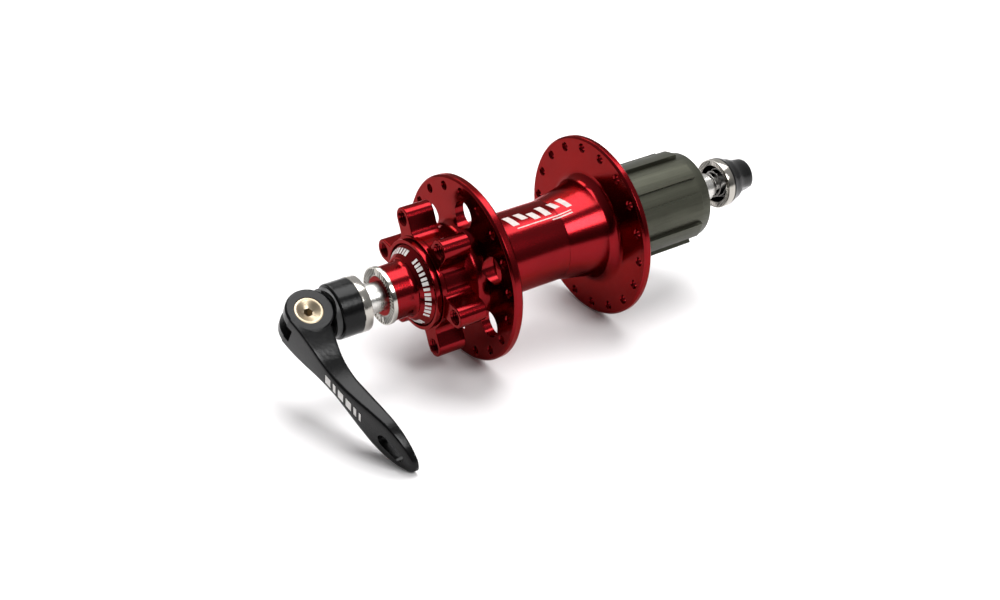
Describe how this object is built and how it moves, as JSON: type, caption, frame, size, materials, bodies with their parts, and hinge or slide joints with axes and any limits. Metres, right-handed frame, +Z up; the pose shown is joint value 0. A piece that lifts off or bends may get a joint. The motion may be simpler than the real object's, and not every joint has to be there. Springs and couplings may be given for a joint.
{
  "type": "rear hub with quick-release skewer",
  "caption": "Rear bicycle hub for a six-bolt brake disc: spoked-flange shell, splined freehub with pawls, sealed bearings, hollow axle and quick-release skewer.",
  "frame": {"origin": "on the axle axis, midway between the two faces that the frame's dropouts are clamped on", "axes": "+Y along the axle from the cassette side to the brake-disc side (the bicycle's left), +Z up, +X towards the front of the bicycle"},
  "size_m": [0.0841, 0.193, 0.065],
  "materials": {
    "anodised_red": "polished and anodised deep red",
    "satin_alloy": "satin turned alloy",
    "bright_steel": "polished plated steel with a toothed face",
    "tool_steel": "hardened and ground",
    "hard_anodised_alloy": "satin grey-green hard anodised",
    "seal_rubber": "matt black",
    "spring_steel": "drawn wire",
    "zinc_steel": "zinc plated",
    "nickel_steel": "nickel plated, warm tone",
    "black_alloy": "semi-gloss black anodised",
    "black_plastic": "moulded black",
    "nylon": "natural nylon",
    "bearing_steel": "ground and polished"
  },
  "bodies": {
    "axle_group": {"axle": "satin_alloy", "left_end_cap": "anodised_red", "left_lock_ring": "bright_steel", "right_end_cap": "satin_alloy", "right_lock_ring": "bright_steel", "shell_bearing_spacer": "satin_alloy", "ratchet_spacer": "satin_alloy", "freehub_bearing_spacer": "satin_alloy", "left_bearing_inner_race": "bearing_steel", "right_bearing_inner_race": "bearing_steel", "freehub_inner_bearing_inner_race": "bearing_steel", "freehub_outer_bearing_inner_race": "bearing_steel"},
    "shell": {"hub_shell": "anodised_red", "ratchet_ring": "tool_steel", "left_bearing_outer_race": "bearing_steel", "left_bearing_seals": "seal_rubber", "right_bearing_outer_race": "bearing_steel", "right_bearing_seals": "seal_rubber"},
    "freehub": {"freehub_body": "hard_anodised_alloy", "freehub_outer_spacer": "satin_alloy", "freehub_circlip": "tool_steel", "freehub_seal": "seal_rubber", "pawl_spring": "spring_steel", "freehub_inner_bearing_outer_race": "bearing_steel", "freehub_inner_bearing_seals": "seal_rubber", "freehub_outer_bearing_outer_race": "bearing_steel", "freehub_outer_bearing_seals": "seal_rubber"},
    "skewer_carrier": {"lever_side_spring": "spring_steel"},
    "skewer": {"skewer_rod": "zinc_steel", "lever_pin": "nickel_steel"},
    "lever": {"cam_lever": "black_alloy"},
    "clamp": {"clamp_cup": "black_alloy", "clamp_ring": "bright_steel", "cam_saddle": "black_plastic"},
    "nut_carrier": {"nut_side_spring": "spring_steel"},
    "nut": {"nut_body": "black_alloy", "nut_ring": "bright_steel", "nut_locking_insert": "nylon"},
    "left_bearing_cage": {"left_bearing_balls": "bearing_steel"},
    "right_bearing_cage": {"right_bearing_balls": "bearing_steel"},
    "freehub_inner_bearing_cage": {"freehub_inner_bearing_balls": "bearing_steel"},
    "freehub_outer_bearing_cage": {"freehub_outer_bearing_balls": "bearing_steel"},
    "pawl_1": {"pawl_1": "tool_steel"},
    "pawl_2": {"pawl_2": "tool_steel"},
    "pawl_3": {"pawl_3": "tool_steel"}
  },
  "joints": [
    {"name": "shell_spin", "type": "hinge", "parent": "axle_group", "child": "shell", "pos_m": [0, 0, 0], "axis": [0, 1, 0], "continuous": true},
    {"name": "freehub_spin", "type": "hinge", "parent": "axle_group", "child": "freehub", "pos_m": [0, 0, 0], "axis": [0, 1, 0], "continuous": true},
    {"name": "left_bearing_cage_spin", "type": "hinge", "parent": "axle_group", "child": "left_bearing_cage", "pos_m": [0, 0, 0], "axis": [0, 1, 0], "continuous": true},
    {"name": "right_bearing_cage_spin", "type": "hinge", "parent": "axle_group", "child": "right_bearing_cage", "pos_m": [0, 0, 0], "axis": [0, 1, 0], "continuous": true},
    {"name": "freehub_inner_bearing_cage_spin", "type": "hinge", "parent": "axle_group", "child": "freehub_inner_bearing_cage", "pos_m": [0, 0, 0], "axis": [0, 1, 0], "continuous": true},
    {"name": "freehub_outer_bearing_cage_spin", "type": "hinge", "parent": "axle_group", "child": "freehub_outer_bearing_cage", "pos_m": [0, 0, 0], "axis": [0, 1, 0], "continuous": true},
    {"name": "pawl_1_pivot", "type": "hinge", "parent": "freehub", "child": "pawl_1", "pos_m": [0, 0, 0.0119], "axis": [0, 1, 0], "range_deg": [-9, 0], "stiffness_Nm_per_rad": 0.0006, "springref_deg": -22.92},
    {"name": "pawl_2_pivot", "type": "hinge", "parent": "freehub", "child": "pawl_2", "pos_m": [0.01031, 0, -0.00595], "axis": [0, 1, 0], "range_deg": [-9, 0], "stiffness_Nm_per_rad": 0.0006, "springref_deg": -22.92},
    {"name": "pawl_3_pivot", "type": "hinge", "parent": "freehub", "child": "pawl_3", "pos_m": [-0.01031, 0, -0.00595], "axis": [0, 1, 0], "range_deg": [-9, 0], "stiffness_Nm_per_rad": 0.0006, "springref_deg": -22.92},
    {"name": "skewer_slide", "type": "slide", "parent": "axle_group", "child": "skewer_carrier", "axis": [0, 1, 0], "range_m": [-0.003, 0.003], "stiffness_N_per_m": 150, "deforming": ["lever_side_spring"]},
    {"name": "skewer_turn", "type": "hinge", "parent": "skewer_carrier", "child": "skewer", "pos_m": [0, 0, 0], "axis": [0, 1, 0], "continuous": true},
    {"name": "lever_pivot", "type": "hinge", "parent": "skewer", "child": "lever", "pos_m": [0, 0.0945, 0], "axis": [0.515, 0, -0.8572], "range_deg": [0, 160]},
    {"name": "clamp_travel", "type": "slide", "parent": "skewer", "child": "clamp", "axis": [0, 1, 0], "range_m": [0, 0.0009]},
    {"name": "nut_travel", "type": "slide", "parent": "skewer", "child": "nut_carrier", "axis": [0, 1, 0], "range_m": [-0.0033, 0.0049], "deforming": ["nut_side_spring"]},
    {"name": "nut_turn", "type": "hinge", "parent": "nut_carrier", "child": "nut", "pos_m": [0, 0, 0], "axis": [0, 1, 0], "range_deg": [-1440, 2160]}
  ],
  "couplings": [
    {"joint": "left_bearing_cage_spin", "follows": "shell_spin", "ratio": 0.6023},
    {"joint": "right_bearing_cage_spin", "follows": "shell_spin", "ratio": 0.5769},
    {"joint": "freehub_inner_bearing_cage_spin", "follows": "freehub_spin", "ratio": 0.6023},
    {"joint": "freehub_outer_bearing_cage_spin", "follows": "freehub_spin", "ratio": 0.6023},
    {"joint": "clamp_travel", "follows": "lever_pivot", "m_per_rad": 0.00031831},
    {"joint": "nut_travel", "follows": "nut_turn", "m_per_rad": 0.00012732}
  ]
}
